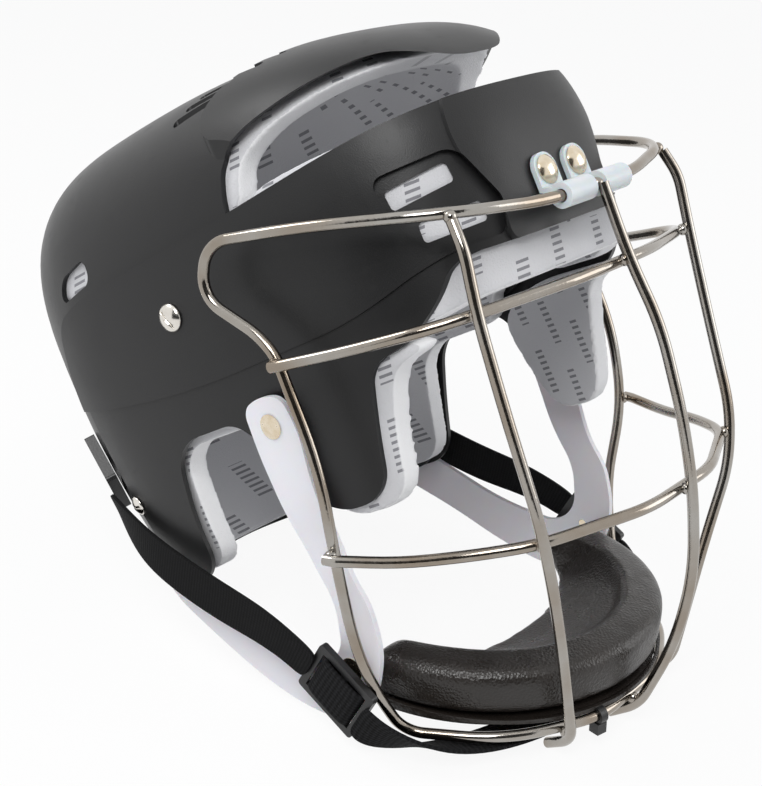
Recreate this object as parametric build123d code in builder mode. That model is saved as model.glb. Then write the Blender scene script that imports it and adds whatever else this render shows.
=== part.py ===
from build123d import *
import math
import os

# A hurling helmet with a wire face guard. It is laid out as it is worn: the nose
# points along -Y, the crown along +Z, and the origin is the middle of the widest
# section. At the end every piece is tipped back onto the nape rim and the guard's
# three bottom tails, the way the helmet lies on a table. Lengths are millimetres.

# Head shape: a blunt oval in plan, domed above the widest section, tucked in below it
head_half_width = 94.3
front_reach = 176.0
back_reach = 103.0
crown_height = 93.8
skirt_drop = 106.0
side_tuck = 10.0
nape_tuck = 18.0
brow_power = 2.8
nape_power = 2.15
dome_power = 3.0
section_steps = 24
skirt_level_shares = (-1.14, -0.76, -0.38)
dome_level_shares = (0, 0.32, 0.59, 0.77, 0.895, 0.965, 0.995)

# Shells: the front shell slides over the rear shell to change the size
front_wall = 2.2
panel_step = 1.2
brow_step = 1.4
rear_wall = 2.4
crown_step = 3.2
shell_gap = 0.6
size_travel = 8.0
temple_sink = 2.4

# Liner foam
foam = 10.0
foam_gap = 0.3
pad_split = 1.0

# Size screws and their nuts
screw_shank = 4.0
screw_head = 12.0
screw_dome = 3.2
low_screw_head = 9.0
low_screw_dome = 2.2
nut_width = 10.0
nut_height = 2.5
fit_gap = 0.3
travel_gap = 1.2

# Face guard wire
wire = 4.6
weld_gap = 0.1
guard_half_width = 107.5
guard_reach = 190.8
guard_drop = 214.0
bend_share = 0.45

# Forehead clip
clip_length = 42.8
clip_wall = 2.4
clip_notch = 6.6
clip_notch_depth = 2.2
tab_width = 14.4
tab_thickness = 2.0
tab_top = 8.0
tab_bend = -6.0
rivet_level = 1.0
rivet_spacing = 20.4
rivet_head = 11.6
rivet_dome = 3.0
rivet_shank = 4.0

# Harness
plate_thickness = 2.5
harness_rivet_head = 10.5
harness_rivet_dome = 1.1
strap_width = 19.0
strap_thickness = 1.6
glide_length = 32.0
glide_width = 26.4
glide_thickness = 3.0
glide_bar = 3.4
glide_rail = 3.2
loop_round = 2.6
buckle_length = 30.0
buckle_width = 24.0
buckle_thickness = 5.0
buckle_bar = 4.0

# Chin cup
cup_radius = 69.0
cup_half_turn = 100.0
cup_forward = 48.0
cup_back = 3.0
cup_height = 34.0
cup_thickness = 20.0
cup_roll = 9.0
cup_lean = 4.0
cup_end_round = 17.0
bite_radius = 111.0
base_radius = 77.0
base_height = 2.4
base_round = 5.0
tie_width = 3.6
tie_thickness = 1.4

# One overrun for every cut, and a tip angle for the resting pose
overrun = 20.0
rest_tip = 32.1


def level_sizes(level, grow):
    """Half width, front reach and back reach of the head shape at a height."""
    if level < 0:
        share = (level / skirt_drop) ** 2
        half = head_half_width - side_tuck * share + grow
        return half, front_reach + grow, back_reach - nape_tuck * share + grow
    share = (1 - (level / (crown_height + grow)) ** dome_power) ** (1 / dome_power)
    half = (head_half_width + grow) * share
    return half, (front_reach + grow) * share, (back_reach + grow) * share


def skin_half_width(y, level, grow):
    """Half width of the head shape at one place along its side."""
    half, front, back = level_sizes(level, grow)
    reach, power = (front, brow_power) if y < 0 else (back, nape_power)
    return half * (1 - (abs(y) / reach) ** power) ** (1 / power)


def section_points(level, grow, stretch):
    """Points round the head shape at a height; the back half can be set back."""
    half, front, back = level_sizes(level, grow)
    half_steps = section_steps // 2
    right = []
    for step in range(half_steps + 1):
        turn = math.pi * step / half_steps
        across, along = math.sin(turn), abs(math.cos(turn))
        if 2 * step < half_steps:
            power = 2 / nape_power
            right.append((half * across**power, back * along**power + stretch))
        else:
            power = 2 / brow_power
            right.append((half * across**power, -front * along**power))
    return right + [(-x, y) for x, y in reversed(right[1:-1])]


def head_form(grow, stretch=0):
    """Solid head shape whose skin lies `grow` outside the fitted one."""
    levels = [share * skirt_drop for share in skirt_level_shares]
    levels += [share * (crown_height + grow) for share in dome_level_shares]
    with BuildPart() as form:
        for level in levels:
            with BuildSketch(Plane.XY.offset(level)):
                with BuildLine():
                    Spline(*section_points(level, grow, stretch), periodic=True)
                make_face()
        loft()
    return form.part


def bend_radii(points, closed):
    """Largest sensible radius at each corner of a run of straight stretches."""
    count = len(points)
    corners = range(count) if closed else range(1, count - 1)
    radii = []
    for corner in corners:
        here = Vector(points[corner])
        before = here - Vector(points[corner - 1])
        after = Vector(points[(corner + 1) % count]) - here
        turn = math.radians(before.get_angle(after))
        run = min(before.length, after.length)
        radii.append(bend_share * run / math.tan(turn / 2))
    return radii


def side_points(shares):
    """Outline points in the side view, from shares of the head's reach and drop."""
    return [(along * front_reach, up * skirt_drop) for along, up in shares]


def side_prism(shares, inner=None, outer=None):
    """Bar across the head with a side-view outline, from one x to another."""
    outer = head_half_width + overrun if outer is None else outer
    inner = -outer if inner is None else inner
    points = side_points(shares)
    with BuildPart() as prism:
        with BuildSketch(Plane.YZ.offset(inner)):
            with BuildLine():
                FilletPolyline(*points, radius=bend_radii(points, True), close=True)
            make_face()
        extrude(amount=outer - inner)
    return prism.part


def guard_points(shares):
    """Places on the guard, from shares of its half width, reach and drop."""
    return [(x * guard_half_width, y * guard_reach, z * guard_drop) for x, y, z in shares]


def wire_route(points):
    """Middle line of a wire: straight stretches joined by tangent arcs."""
    with BuildLine() as route:
        FilletPolyline(*points, radius=bend_radii(points, False))
    return route.line


def wire_run(points):
    """Round wire along its middle line."""
    route = wire_route(points)
    with BuildPart() as run:
        with BuildSketch(Plane(origin=route @ 0, z_dir=route % 0)):
            Circle(wire / 2)
        sweep(path=route)
    return run.part


def mirrored_wire(points):
    """Wire whose right half is given, starting and ending square to the middle."""
    with BuildPart() as pair:
        add(wire_run(points))
        mirror(about=Plane.YZ)
    return pair.part


# Skins of the head shape that the shells and pads are cut from
panel_skin = front_wall / 2 + panel_step / 2
lower_skin = panel_skin - panel_step
slide_skin = lower_skin - front_wall
rear_skin = slide_skin - shell_gap
rear_inside = rear_skin - rear_wall
front_pad_skin = slide_skin - foam_gap
rear_pad_skin = rear_inside - foam_gap

slide_form = head_form(slide_skin, size_travel)
lower_form = head_form(lower_skin)
panel_form = head_form(panel_skin)

# Front shell: side outline with the ear opening, cheek flap and brow edge
front_shell_shares = (
    (-1.136, 0.368), (-0.938, 0.373), (-0.511, 0.283), (0.068, 0.245), (0.182, 0.198),
    (0.25, -0.075), (0.239, -0.453), (0.239, -0.755), (0.216, -1), (0.017, -1), (-0.011, -0.736),
    (-0.074, -0.434), (-0.295, -0.434), (-0.347, -0.538), (-0.438, -0.887), (-0.597, -0.887),
    (-0.648, -0.632), (-0.693, -0.415), (-0.79, -0.387), (-0.864, -0.292), (-0.909, -0.17),
    (-1.011, -0.189), (-1.136, -0.193),
)
crease_shares = (
    (-1.136, 1.038), (-1.136, -0.123), (-0.909, -0.142), (-0.71, -0.245), (-0.233, -0.264),
    (0.153, -0.198), (0.455, -0.113), (0.455, 1.038),
)

# Raised forehead panel between the two temple recesses
brow_panel_shares = (
    (-0.414, 0.425), (-0.488, 0.189), (-0.371, -0.047), (-0.392, -0.208), (0.392, -0.208),
    (0.371, -0.047), (0.488, 0.189), (0.414, 0.425),
)

# Temple recess and its two vents, drawn square to the shell beside the brow
temple_turn = 40.0
temple_across = 64.0
recess_width = 45.0
recess_height = 37.0
recess_lift = 1.5
recess_shares = ((0.52, 0.5), (-0.25, 0.53), (-0.5, -0.12), (-0.43, -0.47), (0.27, -0.44), (0.4, -0.1))
crisp_share = 0.5
vent_length = 26.0
vent_height = 8.0
temple_vents = ((0.13, 0.27, -6.0), (-0.03, -0.18, 0.0))


def brow_prism():
    """Bar through the forehead with the raised panel's outline in front view."""
    points = [(x * head_half_width, up * skirt_drop) for x, up in brow_panel_shares]
    with BuildPart() as prism:
        with BuildSketch(Plane.XZ):
            with BuildLine():
                FilletPolyline(*points, radius=bend_radii(points, True), close=True)
            make_face()
        extrude(amount=front_reach + overrun)
    return prism.part


def temple_tool(points):
    """Bar out through the right temple, and its mirror image, with a flat outline."""
    turn = math.radians(temple_turn)
    along = Vector(math.cos(turn), math.sin(turn), 0)
    outward = Vector(math.sin(turn), -math.cos(turn), 0)
    origin = along * -temple_across + Vector(0, 0, recess_lift)
    with BuildPart() as tool:
        with BuildSketch(Plane(origin=origin, x_dir=along, z_dir=outward)):
            with BuildLine():
                radii = [crisp_share * radius for radius in bend_radii(points, True)]
                FilletPolyline(*points, radius=radii, close=True)
            make_face()
        extrude(amount=front_reach + overrun)
        mirror(about=Plane.YZ)
    return tool.part


def vent_points(along_share, up_share, slope):
    """Corners of one temple vent, slanted by a slope in degrees."""
    turn = math.radians(slope)
    middle = Vector(along_share * recess_width, up_share * recess_height)
    along = Vector(math.cos(turn), math.sin(turn)) * (vent_length / 2)
    up = Vector(-math.sin(turn), math.cos(turn)) * (vent_height / 2)
    corners = (middle - along - up, middle + along - up, middle + along + up, middle - along + up)
    return [(corner.X, corner.Y) for corner in corners]


recess_points = [(along * recess_width, up * recess_height) for along, up in recess_shares]
with BuildPart() as recess_tool:
    add(temple_tool(recess_points))
    add(head_form(panel_skin - temple_sink), mode=Mode.SUBTRACT)

# Size screws: places in the side view; each sits square on the side of the shell
upper_screw = (-0.25, 0.028)
lower_screw = (0.188, -0.613)


def side_plane(place, reach):
    """Plane on a side surface at a side-view place, facing outwards."""
    y, level = place[0] * front_reach, place[1] * skirt_drop
    step = wire
    along = Vector(reach(y + step, level) - reach(y - step, level), 2 * step, 0)
    up = Vector(reach(y, level + step) - reach(y, level - step), 0, 2 * step)
    return Plane(origin=(reach(y, level), y, level), x_dir=along, z_dir=along.cross(up))


def skin_plane(place, grow):
    """Plane on the right side of the head shape at a side-view place."""
    return side_plane(place, lambda y, level: skin_half_width(y, level, grow))


def turned(plane, angle):
    """A plane turned about its own normal."""
    along = plane.x_dir.rotate(Axis(plane.origin, plane.z_dir), angle)
    return Plane(origin=plane.origin, x_dir=along, z_dir=plane.z_dir)


def side_hole(place, width, travel=0, depth=None):
    """Tool for a round or long hole in from the right side, and its mirror image."""
    plane = skin_plane(place, rear_inside)
    with BuildPart() as hole:
        with BuildSketch(plane.offset(overrun)):
            with Locations((-travel / 2, 0)):
                if travel:
                    SlotCenterToCenter(travel, width)
                else:
                    Circle(width / 2)
        extrude(amount=-overrun - (overrun if depth is None else depth))
        mirror(about=Plane.YZ)
    return hole.part


def domed_pin(plane, head, dome, shank, length):
    """Shank with a domed head, turned about the plane's normal."""
    rim = dome / 5
    rise = dome - rim
    radius = ((head / 2) ** 2 + rise**2) / (2 * rise)
    half_turn = math.asin(head / 2 / radius) / 2
    crown = (radius * math.sin(half_turn), dome - radius + radius * math.cos(half_turn))
    with BuildPart() as pin:
        with BuildSketch(Plane(origin=plane.origin, x_dir=plane.x_dir, z_dir=-plane.y_dir)):
            with BuildLine():
                Polyline((0, dome), (0, -length), (shank / 2, -length), (shank / 2, 0),
                         (head / 2, 0), (head / 2, rim))
                ThreePointArc((head / 2, rim), crown, (0, dome))
            make_face()
        revolve(axis=Axis(plane.origin, plane.z_dir))
    return pin.part


def both_sides(piece):
    """A piece and its mirror image as two separate solids."""
    with BuildPart() as pair:
        add(piece)
        mirror(about=Plane.YZ)
    return pair


def other_side(piece):
    """The mirror image of a right-hand piece."""
    with BuildPart() as twin:
        mirror(piece, about=Plane.YZ)
    return twin


# Harness plate surface: an upright profile whose rear arm bends in to the shell
plate_profile_shares = (
    (0.993, -0.34), (0.978, -0.509), (0.963, -0.811), (0.932, -0.981), (0.926, -1.245),
    (0.915, -1.434), (0.903, -1.755),
)
plate_bend_place = 0.01
plate_bend = 8.6
front_rivet = (-0.42, -0.491)
rear_rivet = (0.17, -0.943)
tip_rivet = (-0.33, -1.472)


def plate_reach(y, level):
    """Distance of the harness plate's middle layer from the middle of the helmet."""
    points = [(x * head_half_width, up * skirt_drop) for x, up in plate_profile_shares]
    inward = max(0, y - plate_bend_place * front_reach) * math.tan(math.radians(plate_bend))
    for (x_top, top), (x_low, low) in zip(points, points[1:]):
        if low <= level <= top:
            return x_low + (x_top - x_low) * (level - low) / (top - low) - inward
    return points[-1][0] - inward


def rivet_grip(place):
    """Length from the plate's outside to the front shell's inside at a rivet."""
    y, level = side_points([place])[0]
    shell = skin_half_width(max(y - size_travel, min(y, 0)), level, slide_skin)
    return plate_reach(y, level) + plate_thickness / 2 - shell


def rivet_hole(place):
    """Hole for a harness rivet in from the right plate, and its mirror image."""
    plane = side_plane(place, plate_reach)
    with BuildPart() as hole:
        with BuildSketch(plane.offset(overrun)):
            Circle(rivet_shank / 2 + weld_gap)
        extrude(amount=-overrun - rivet_grip(place))
        mirror(about=Plane.YZ)
    return hole.part


# Front shell
shank_hole = screw_shank + 2 * fit_gap
with BuildPart() as upper_panel:
    add(panel_form)
    add(side_prism(crease_shares), mode=Mode.INTERSECT)
with BuildPart() as brow_panel:
    add(head_form(panel_skin + brow_step))
    add(brow_prism(), mode=Mode.INTERSECT)
with BuildPart() as front_shell:
    add(lower_form)
    add(upper_panel.part)
    add(brow_panel.part)
    add(recess_tool.part, mode=Mode.SUBTRACT)
    add(slide_form, mode=Mode.SUBTRACT)
    add(side_prism(front_shell_shares), mode=Mode.INTERSECT)
    for along_share, up_share, slope in temple_vents:
        add(temple_tool(vent_points(along_share, up_share, slope)), mode=Mode.SUBTRACT)
    for place in (upper_screw, lower_screw):
        add(side_hole(place, shank_hole), mode=Mode.SUBTRACT)
    for place in (front_rivet, rear_rivet):
        add(rivet_hole(place), mode=Mode.SUBTRACT)
    with BuildSketch(Plane.XZ.offset(front_reach - overrun)):
        with Locations((-rivet_spacing / 2, rivet_level), (rivet_spacing / 2, rivet_level)):
            Circle(rivet_shank / 2 + weld_gap)
    extrude(amount=2 * overrun, mode=Mode.SUBTRACT)

# Rear shell: dome with a raised hoop over the window, slanted vents behind it,
# and long holes that let it slide past the screws
rear_shell_shares = (
    (-0.994, 0.425), (-0.898, 0.575), (-0.835, 0.632), (-0.722, 0.613), (-0.585, 0.557),
    (-0.506, 0.481), (-0.489, 0.34), (-0.494, 0.075), (-0.477, -0.283), (-0.398, -0.368),
    (-0.08, -0.377), (-0.023, -0.547), (0.034, -0.792), (0.068, -1), (0.653, -1), (0.653, 1.038),
    (-0.994, 1.038),
)
hoop_shares = (
    (-0.848, -1.08), (-0.848, -0.443), (-0.636, -0.477), (-0.361, -0.574), (-0.011, -0.614),
    (0.011, -0.614), (0.361, -0.574), (0.636, -0.477), (0.848, -0.443), (0.848, -1.08),
)
dome_vent_shares = (
    (-0.7, -0.335), (-0.604, -0.489), (-0.626, -0.352), (-0.509, -0.545), (-0.551, -0.369),
    (-0.403, -0.574),
)
dome_vent_width = 4.5
side_slot_shares = (
    (0.017, 0.401), (0.139, 0.363), (0.168, 0.264), (0.011, 0.297),
)


def plan_points(shares):
    """Outline points in plan, from shares of the half width and the front reach."""
    return [(x * head_half_width, y * front_reach) for x, y in shares]


def plan_prism(shares, inset=0):
    """Upright bar over the head with an outline in plan."""
    points = plan_points(shares)
    with BuildPart() as prism:
        with BuildSketch():
            with BuildLine():
                FilletPolyline(*points, radius=bend_radii(points, True), close=True)
            make_face()
            if inset:
                offset(amount=-inset)
        extrude(amount=crown_height + overrun)
    return prism.part


with BuildPart() as hoop:
    add(head_form(rear_skin + crown_step))
    add(plan_prism(hoop_shares), mode=Mode.INTERSECT)
with BuildPart() as hoop_hollow:
    add(head_form(rear_inside + crown_step))
    add(plan_prism(hoop_shares, rear_wall), mode=Mode.INTERSECT)
with BuildPart() as dome_vents:
    ends = [Vector(x, y) for x, y in plan_points(dome_vent_shares)]
    with BuildSketch(Plane.XY.offset(crown_height / 2)):
        for start, end in zip(ends[::2], ends[1::2]):
            SlotCenterPoint((start + end) / 2, end, dome_vent_width)
    extrude(amount=crown_height)
    mirror(about=Plane.YZ)
with BuildPart() as rear_shell:
    add(head_form(rear_skin))
    add(hoop.part)
    add(head_form(rear_inside), mode=Mode.SUBTRACT)
    add(hoop_hollow.part, mode=Mode.SUBTRACT)
    add(side_prism(rear_shell_shares), mode=Mode.INTERSECT)
    add(dome_vents.part, mode=Mode.SUBTRACT)
    add(side_prism(side_slot_shares), mode=Mode.SUBTRACT)
    for place in (upper_screw, lower_screw):
        add(side_hole(place, shank_hole, size_travel), mode=Mode.SUBTRACT)

# Liner pads: front ones on the front shell, the others on the rear shell
brow_pad_shares = (
    (-1.136, 0.34), (-0.938, 0.344), (-0.716, 0.349), (-0.523, 0.321), (-0.511, -0.34),
    (-0.807, -0.358), (-0.892, -0.33), (-1.136, -0.335),
)
cheek_pad_shares = (
    (-0.364, -0.5), (-0.409, -0.415), (-0.523, -0.368), (-0.784, -0.387), (-0.795, -0.425),
    (-0.722, -0.462), (-0.676, -0.642), (-0.636, -0.868), (-0.591, -0.925), (-0.466, -0.925),
    (-0.398, -0.708),
)
side_pad_shares = (
    (-0.477, 0.245), (-0.477, -0.245), (-0.364, -0.358), (-0.347, -0.443), (-0.295, -0.467),
    (-0.102, -0.467), (-0.045, -0.538), (-0.017, -0.755), (0, -0.972), (0.227, -0.972),
    (0.227, 0.245),
)
nape_pad_shares = (
    (0.239, 0.245), (0.239, -0.972), (0.653, -0.972), (0.653, 0.245),
)
crown_pad_shares = (
    (-0.994, 0.358), (-0.926, 0.519), (-0.864, 0.585), (-0.727, 0.575), (-0.602, 0.519),
    (-0.534, 0.443), (-0.517, 0.264), (0.653, 0.264), (0.653, 1.038), (-0.994, 1.038),
)
with BuildPart() as front_layer:
    add(head_form(front_pad_skin))
    add(head_form(front_pad_skin - foam), mode=Mode.SUBTRACT)
with BuildPart() as rear_layer:
    add(head_form(rear_pad_skin))
    add(head_form(rear_pad_skin - foam), mode=Mode.SUBTRACT)
with BuildPart() as brow_pad:
    add(front_layer.part)
    add(side_prism(brow_pad_shares), mode=Mode.INTERSECT)
with BuildPart() as cheek_pad_left:
    add(front_layer.part)
    add(side_prism(cheek_pad_shares, inner=pad_split), mode=Mode.INTERSECT)
with BuildPart() as nape_pad:
    add(rear_layer.part)
    add(side_prism(nape_pad_shares), mode=Mode.INTERSECT)
with BuildPart() as crown_pad:
    add(rear_layer.part)
    add(side_prism(crown_pad_shares), mode=Mode.INTERSECT)
nut_room = travel_gap + nut_height + rear_wall
with BuildPart() as side_pad_left:
    add(rear_layer.part)
    add(side_prism(side_pad_shares, inner=pad_split), mode=Mode.INTERSECT)
    for place in (upper_screw, lower_screw):
        tool = side_hole(place, nut_width + 2 * travel_gap, size_travel, nut_room)
        add(tool, mode=Mode.SUBTRACT)
cheek_pad_right = other_side(cheek_pad_left.part)
side_pad_right = other_side(side_pad_left.part)


def size_screw(place, grow, head, dome):
    """Domed screw through both shells at a place on the right side."""
    stack = grow - rear_inside + fit_gap + weld_gap
    plane = skin_plane(place, rear_inside).offset(stack)
    return domed_pin(plane, head, dome, screw_shank, stack + travel_gap + nut_height)


def size_nut(place):
    """Round nut on the screw, clear of the sliding rear shell."""
    with BuildPart() as nut:
        with BuildSketch(skin_plane(place, rear_inside).offset(-travel_gap)):
            Circle(nut_width / 2)
            Circle(screw_shank / 2 + weld_gap, mode=Mode.SUBTRACT)
        extrude(amount=-nut_height)
    return nut.part


size_screws_upper = both_sides(size_screw(upper_screw, panel_skin, screw_head, screw_dome))
size_screws_lower = both_sides(size_screw(lower_screw, lower_skin, low_screw_head, low_screw_dome))
with BuildPart() as size_nuts:
    for place in (upper_screw, lower_screw):
        add(size_nut(place))
    mirror(about=Plane.YZ)

# Face guard: the rim wire, two cross bars behind the uprights, three uprights in front
rim_shares = (
    (0, -1, -0.051), (0.279, -1, -0.051), (0.694, -0.95, -0.016), (0.912, -0.692, 0.061),
    (0.986, -0.482, 0.103), (1, -0.419, 0.019), (0.971, -0.511, -0.079), (0.965, -0.535, -0.126),
    (0.972, -0.535, -0.336), (0.972, -0.482, -0.5), (0.893, -0.398, -0.64),
    (0.86, -0.369, -0.715), (0.819, -0.356, -0.794), (0.753, -0.346, -0.874),
    (0.577, -0.516, -0.949), (0.223, -0.611, -0.994), (0, -0.611, -0.994),
)
upper_bar_shares = (
    (0, -0.994, -0.196), (0.223, -0.994, -0.196), (0.679, -0.912, -0.187),
    (0.819, -0.839, -0.18), (0.93, -0.692, -0.164), (1.008, -0.558, -0.145),
    (1.012, -0.537, -0.142),
)
lower_bar_shares = (
    (0, -0.936, -0.621), (0.223, -0.936, -0.621), (0.651, -0.839, -0.595), (0.8, -0.734, -0.57),
    (0.912, -0.613, -0.542), (1.013, -0.498, -0.5), (1.017, -0.48, -0.493),
)
side_upright_shares = (
    (0.687, -0.945, -0.029), (0.705, -0.954, -0.084), (0.71, -0.93, -0.187),
    (0.698, -0.901, -0.355), (0.679, -0.87, -0.561), (0.642, -0.828, -0.664),
    (0.53, -0.739, -0.79), (0.447, -0.66, -0.904), (0.372, -0.589, -1.005),
)
centre_upright_shares = (
    (0, -1.026, -0.054), (0, -1.02, -0.196), (0, -1.032, -0.327), (0, -1.001, -0.5),
    (0, -0.962, -0.629), (0, -0.891, -0.78), (0, -0.776, -0.911), (0, -0.624, -1.02),
)
side_tail_share = (0.344, -0.508)
centre_tail_share = (0, -0.54)
rim_points = guard_points(rim_shares)


def rest_level(y, level):
    """Height of a place once the helmet is tipped back to rest."""
    tip = math.radians(rest_tip)
    return level * math.cos(tip) - y * math.sin(tip)


def tail_end(shares):
    """Tip of an upright's tail, set so that it stands as low as the nape rim."""
    x, y = shares[0] * guard_half_width, shares[1] * guard_reach
    tip = math.radians(rest_tip)
    rim_back = level_sizes(-skirt_drop, rear_skin)[2]
    floor = rest_level(rim_back, -skirt_drop)
    level = (floor + wire / 2 + y * math.sin(tip)) / math.cos(tip)
    return x, y, level


guard_rim = mirrored_wire(rim_points)
guard_upper_bar = mirrored_wire(guard_points(upper_bar_shares))
guard_lower_bar = mirrored_wire(guard_points(lower_bar_shares))
guard_centre_upright = wire_run(guard_points(centre_upright_shares) + [tail_end(centre_tail_share)])
side_run = guard_points(side_upright_shares) + [tail_end(side_tail_share)]
guard_side_uprights = both_sides(wire_run(side_run))

# Forehead clip: a split tube round the rim wire with a tab up to each rivet
clip_y, clip_z = rim_points[0][1], rim_points[0][2]
clip_outside = wire / 2 + fit_gap + clip_wall
brow_face = -(front_reach + panel_skin + brow_step)
tab_face = brow_face - weld_gap - tab_thickness
rivet_x = rivet_spacing / 2
with BuildPart() as forehead_clip:
    with BuildSketch(Plane.YZ.offset(-clip_length / 2)):
        with Locations((clip_y, clip_z)):
            Circle(clip_outside)
    extrude(amount=clip_length)
    for x in (-rivet_x, rivet_x):
        with BuildSketch(Plane.YZ.offset(x - tab_width / 2)):
            with BuildLine():
                Polyline((tab_face + tab_thickness / 2, tab_top),
                         (tab_face + tab_thickness / 2, tab_bend),
                         (clip_y + clip_wall, clip_z + clip_wall))
            trace(line_width=tab_thickness)
        extrude(amount=tab_width)
    corners = forehead_clip.edges().filter_by(Axis.Y).group_by(Axis.Z)[-1]
    fillet(corners, radius=tab_width * bend_share)
    with BuildSketch(Plane.YZ.offset(-clip_length / 2)):
        with Locations((clip_y, clip_z)):
            Circle(wire / 2 + fit_gap)
    extrude(amount=clip_length, mode=Mode.SUBTRACT)
    with BuildSketch(Plane.XZ.offset(-clip_y - clip_notch_depth)):
        with Locations((0, clip_z)):
            Rectangle(clip_notch, 2 * overrun)
    extrude(amount=overrun, mode=Mode.SUBTRACT)
    with BuildSketch(Plane.XZ.offset(-tab_face - overrun)):
        with Locations((-rivet_x, rivet_level), (rivet_x, rivet_level)):
            Circle(rivet_shank / 2 + weld_gap)
    extrude(amount=2 * overrun, mode=Mode.SUBTRACT)
rivet_plane = Plane(origin=(rivet_x, tab_face - weld_gap, rivet_level), x_dir=(1, 0, 0), z_dir=(0, -1, 0))
rivet_length = panel_skin + brow_step - slide_skin + tab_thickness
clip_rivets = both_sides(domed_pin(rivet_plane, rivet_head, rivet_dome, rivet_shank, rivet_length))

# Harness: each side has one V-shaped plate riveted to the shell at both arm ends
plate_outline_shares = (
    (-0.423, -0.373), (-0.358, -0.396), (-0.344, -0.566), (-0.344, -0.83), (-0.352, -1.038),
    (-0.369, -1.208), (-0.324, -1.396), (-0.239, -1.434), (-0.068, -1.264), (0.125, -0.934),
    (0.176, -0.868), (0.233, -0.925), (0.205, -1.057), (0.085, -1.255), (-0.017, -1.434),
    (-0.125, -1.585), (-0.261, -1.698), (-0.364, -1.604), (-0.443, -1.434), (-0.466, -1.245),
    (-0.449, -1.113), (-0.455, -0.972), (-0.466, -0.726), (-0.494, -0.547), (-0.486, -0.396),
)
plate_front, plate_back = -front_reach / 2, back_reach / 2
bend_y = plate_bend_place * front_reach
bend_in = (plate_back - bend_y) * math.tan(math.radians(plate_bend))
with BuildPart() as harness_plate_left:
    top_x = plate_profile_shares[0][0] * head_half_width
    run_points = [(top_x, plate_front - overrun), (top_x, bend_y), (top_x - bend_in, plate_back)]
    with BuildLine() as plate_run:
        FilletPolyline(*run_points, radius=bend_radii(run_points, False))
    with BuildSketch(Plane.XZ.offset(-run_points[0][1])):
        with BuildLine():
            points = [(x * head_half_width, up * skirt_drop) for x, up in plate_profile_shares]
            FilletPolyline(*points, radius=bend_radii(points, False))
        trace(line_width=plate_thickness)
    sweep(path=plate_run.line)
    add(side_prism(plate_outline_shares, inner=pad_split), mode=Mode.INTERSECT)
    for place in (front_rivet, rear_rivet, tip_rivet):
        add(rivet_hole(place), mode=Mode.SUBTRACT)
harness_plate_right = other_side(harness_plate_left.part)


def plate_rivet(place, length):
    """Domed rivet through the harness plate, square to it."""
    plane = side_plane(place, plate_reach).offset(plate_thickness / 2 + fit_gap)
    return domed_pin(plane, harness_rivet_head, harness_rivet_dome, rivet_shank, length)


with BuildPart() as harness_rivets:
    for place in (front_rivet, rear_rivet):
        add(plate_rivet(place, rivet_grip(place)))
    add(plate_rivet(tip_rivet, plate_thickness + weld_gap))
    mirror(about=Plane.YZ)

# Strap adjusters on the outside of each plate, tilted with the strap
glide_middle = (-0.298, -1.524)
glide_tilt = 31.5
glide_inside = 92.4
glide_y, glide_z = side_points([glide_middle])[0]
glide_plane = turned(
    Plane(origin=(glide_inside, glide_y, glide_z), x_dir=(0, 1, 0), z_dir=(1, 0, 0)), -glide_tilt
)
glide_window = (glide_length - 3 * glide_bar) / 2
with BuildPart() as strap_adjuster_left:
    with BuildSketch(glide_plane):
        RectangleRounded(glide_width, glide_length, glide_bar / 2)
        with GridLocations(0, glide_window + glide_bar, 1, 2):
            Rectangle(glide_width - 2 * glide_rail, glide_window, mode=Mode.SUBTRACT)
    extrude(amount=glide_thickness)
strap_adjuster_right = other_side(strap_adjuster_left.part)

# Webbing loop round each adjuster's middle bar, seated against the plate's tip rivet
loop_reach = glide_length / 2 - glide_bar - fit_gap
with BuildPart() as webbing_loop_left:
    middle = glide_plane.offset(glide_thickness / 2).origin
    across = Plane(origin=middle, x_dir=glide_plane.y_dir, z_dir=glide_plane.x_dir)
    with BuildSketch(across.offset(-strap_width / 2)):
        RectangleRounded(2 * loop_reach, glide_thickness + 2 * (strap_thickness + fit_gap), loop_round)
        Rectangle(glide_bar + 2 * fit_gap, glide_thickness + 2 * fit_gap, mode=Mode.SUBTRACT)
    extrude(amount=strap_width)
webbing_loop_right = other_side(webbing_loop_left.part)

# Strap buckles on the sides of the rear shell
buckle_place = (0.352, -0.443)
buckle_turn = -43.0
buckle_plane = turned(skin_plane(buckle_place, rear_skin + fit_gap), buckle_turn)
buckle_window = (buckle_length - 3 * buckle_bar) / 2
with BuildPart() as strap_buckle_left:
    with BuildSketch(buckle_plane):
        RectangleRounded(buckle_width, buckle_length, buckle_bar / 2)
        with GridLocations(0, buckle_window + buckle_bar, 1, 2):
            Rectangle(strap_width + 2 * fit_gap, buckle_window, mode=Mode.SUBTRACT)
    extrude(amount=buckle_thickness)
strap_buckle_right = other_side(strap_buckle_left.part)


def flat_strap(stations, width):
    """Flat strap through stations, each a place, a width direction and a run direction."""
    with BuildPart() as strap:
        for place, across, along in stations:
            with BuildSketch(Plane(origin=place, x_dir=across, z_dir=along)):
                Rectangle(width, strap_thickness)
        loft()
    return strap.part


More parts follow.
